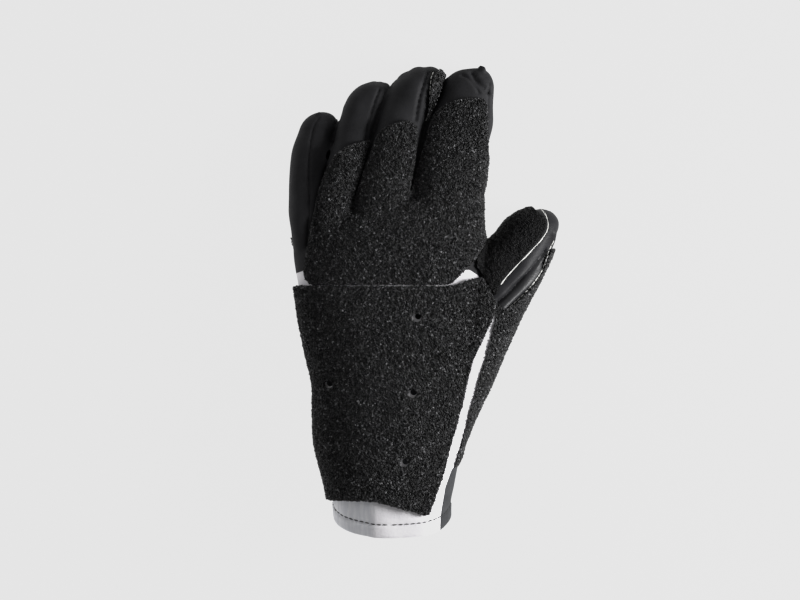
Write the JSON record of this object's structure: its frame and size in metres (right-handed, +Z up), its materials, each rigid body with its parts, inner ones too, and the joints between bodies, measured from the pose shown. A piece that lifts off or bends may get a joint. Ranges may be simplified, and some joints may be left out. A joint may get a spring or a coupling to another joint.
{
  "type": "shooting glove",
  "caption": "Full-finger target shooting glove for the left hand, black leather with granulated rubber grip sheets on back and palm, and a long white cuff.",
  "frame": {"origin": "centre of the glove's box at the surface that it lies on", "axes": "+Y to the fingertips, +X to the thumb's side, +Z up from the palm to the back of the hand"},
  "size_m": [0.1532, 0.2665, 0.0521],
  "materials": {
    "black_leather": "smooth black leather, dull",
    "grip_rubber": "black rubber sheet with a granulated, open face",
    "white_leather": "smooth white leather, satin",
    "grey_stretch": "dark grey brushed stretch fabric"
  },
  "bodies": {
    "root": {"hand_leather": "black_leather", "thumb_stall": "black_leather", "little_finger": "black_leather", "little_finger_grip": "grip_rubber", "ring_finger": "black_leather", "ring_finger_grip": "grip_rubber", "middle_finger": "black_leather", "middle_finger_grip": "grip_rubber", "index_finger": "black_leather", "index_finger_grip": "grip_rubber", "cuff_back": "white_leather", "cuff_palm": "grey_stretch", "knuckle_grip": "grip_rubber", "back_pad": "grip_rubber", "thumb_grip": "grip_rubber", "palm_grip": "grip_rubber"}
  },
  "joints": []
}
